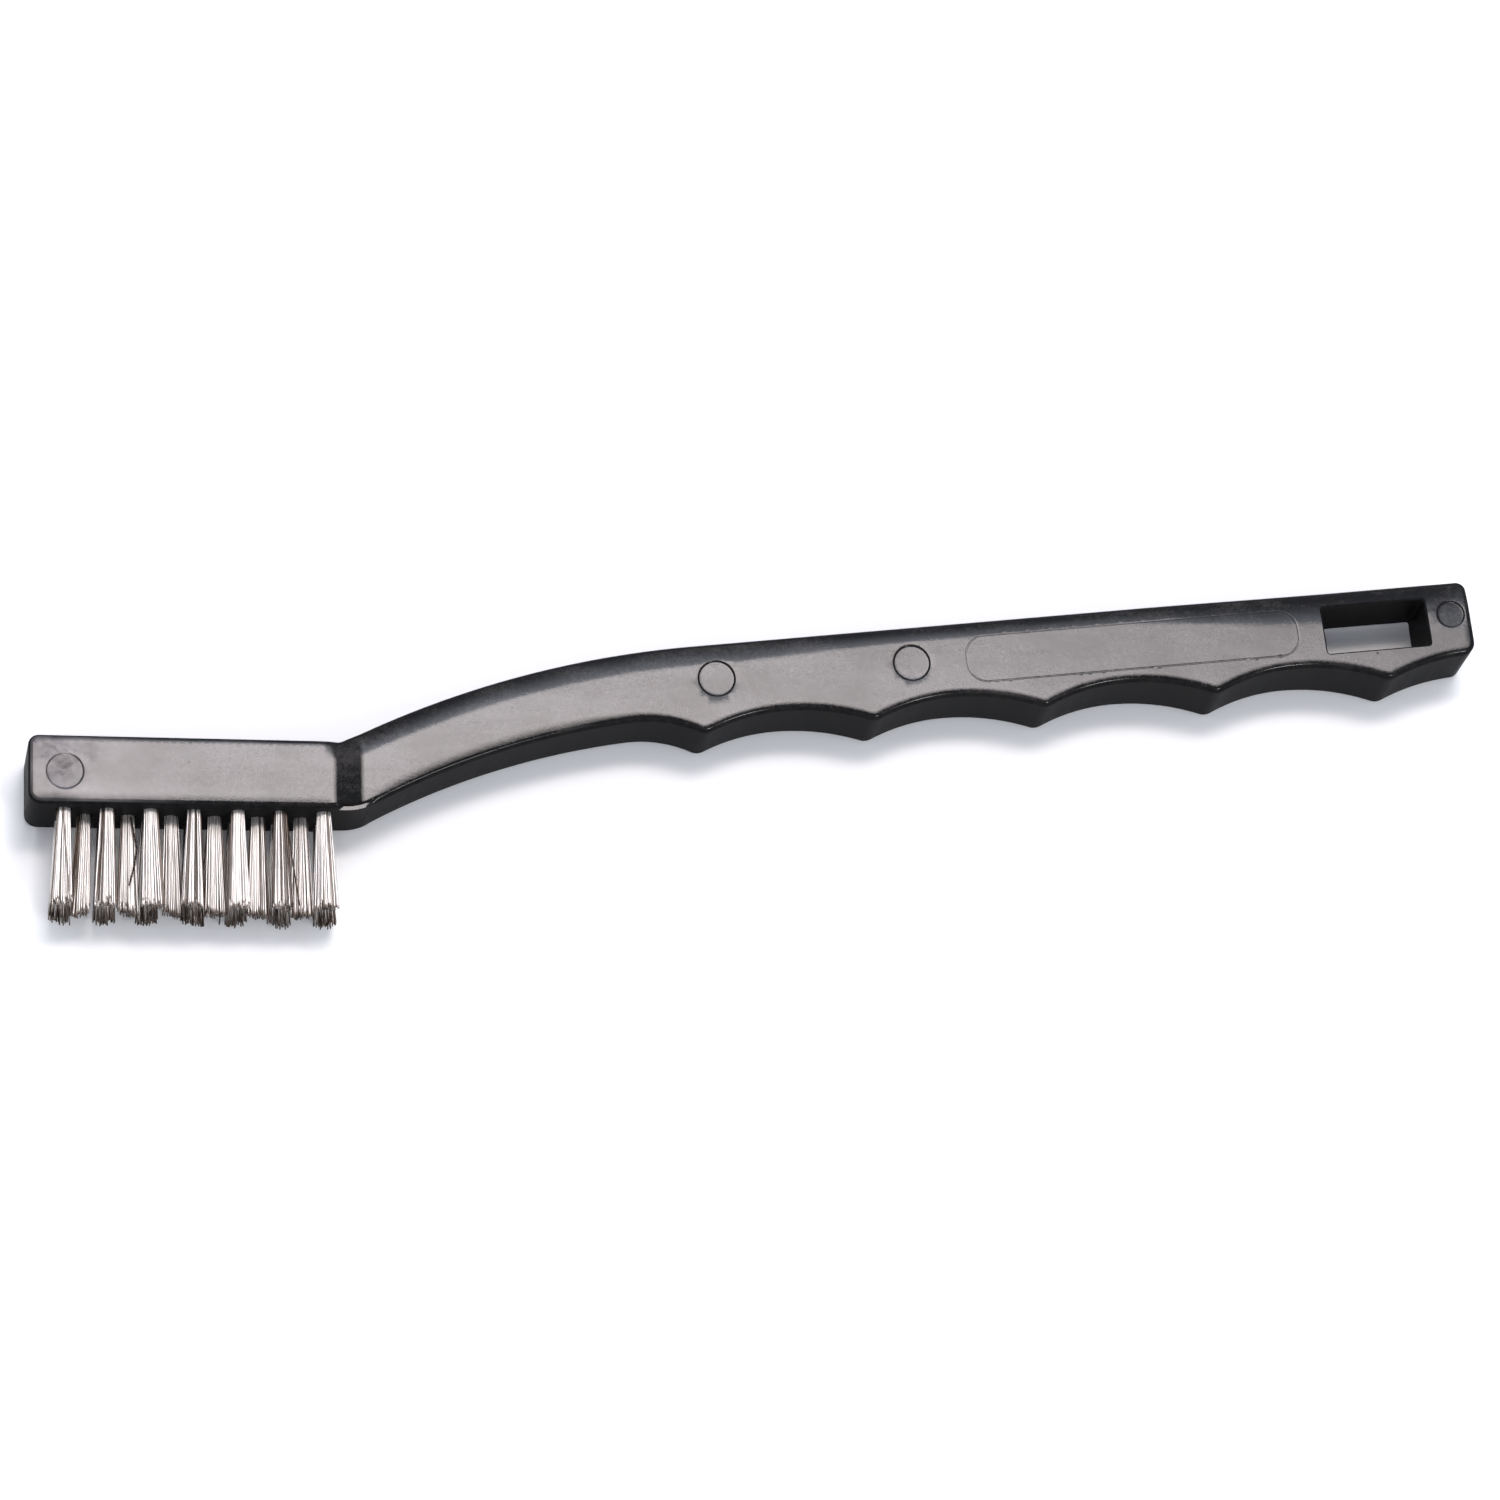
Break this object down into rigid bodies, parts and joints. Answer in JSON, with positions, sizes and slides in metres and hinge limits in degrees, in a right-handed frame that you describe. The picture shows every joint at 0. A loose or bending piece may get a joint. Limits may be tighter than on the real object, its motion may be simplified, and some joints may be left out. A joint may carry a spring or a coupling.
{
  "type": "wire brush",
  "caption": "Small toothbrush-style wire scratch brush: one-piece plastic handle with finger grooves and a hanging hole, and a head of steel wire tufts in three staggered rows.",
  "frame": {"origin": "middle of the bounding box at its lowest level, with the brush lying on one broad flank", "axes": "+X from the nose along the bristle face towards the hanging end, -Y the way the bristles point, +Z out of the upper flank"},
  "size_m": [0.184, 0.046, 0.0108],
  "materials": {
    "handle_plastic": "black injection-moulded plastic, semi-gloss, lightly scuffed",
    "bristle_wire": "bright drawn stainless wire",
    "anchor_wire": "flat rolled wire, cut to length"
  },
  "bodies": {
    "root": {"handle": "handle_plastic", "tuft_front_1": "bristle_wire", "tuft_front_2": "bristle_wire", "tuft_front_3": "bristle_wire", "tuft_front_4": "bristle_wire", "tuft_front_5": "bristle_wire", "tuft_front_6": "bristle_wire", "tuft_front_7": "bristle_wire", "tuft_middle_1": "bristle_wire", "tuft_middle_2": "bristle_wire", "tuft_middle_3": "bristle_wire", "tuft_middle_4": "bristle_wire", "tuft_middle_5": "bristle_wire", "tuft_middle_6": "bristle_wire", "tuft_rear_1": "bristle_wire", "tuft_rear_2": "bristle_wire", "tuft_rear_3": "bristle_wire", "tuft_rear_4": "bristle_wire", "tuft_rear_5": "bristle_wire", "tuft_rear_6": "bristle_wire", "tuft_rear_7": "bristle_wire", "anchor_front_1": "anchor_wire", "anchor_front_2": "anchor_wire", "anchor_front_3": "anchor_wire", "anchor_front_4": "anchor_wire", "anchor_front_5": "anchor_wire", "anchor_front_6": "anchor_wire", "anchor_front_7": "anchor_wire", "anchor_middle_1": "anchor_wire", "anchor_middle_2": "anchor_wire", "anchor_middle_3": "anchor_wire", "anchor_middle_4": "anchor_wire", "anchor_middle_5": "anchor_wire", "anchor_middle_6": "anchor_wire", "anchor_rear_1": "anchor_wire", "anchor_rear_2": "anchor_wire", "anchor_rear_3": "anchor_wire", "anchor_rear_4": "anchor_wire", "anchor_rear_5": "anchor_wire", "anchor_rear_6": "anchor_wire", "anchor_rear_7": "anchor_wire"}
  },
  "joints": []
}
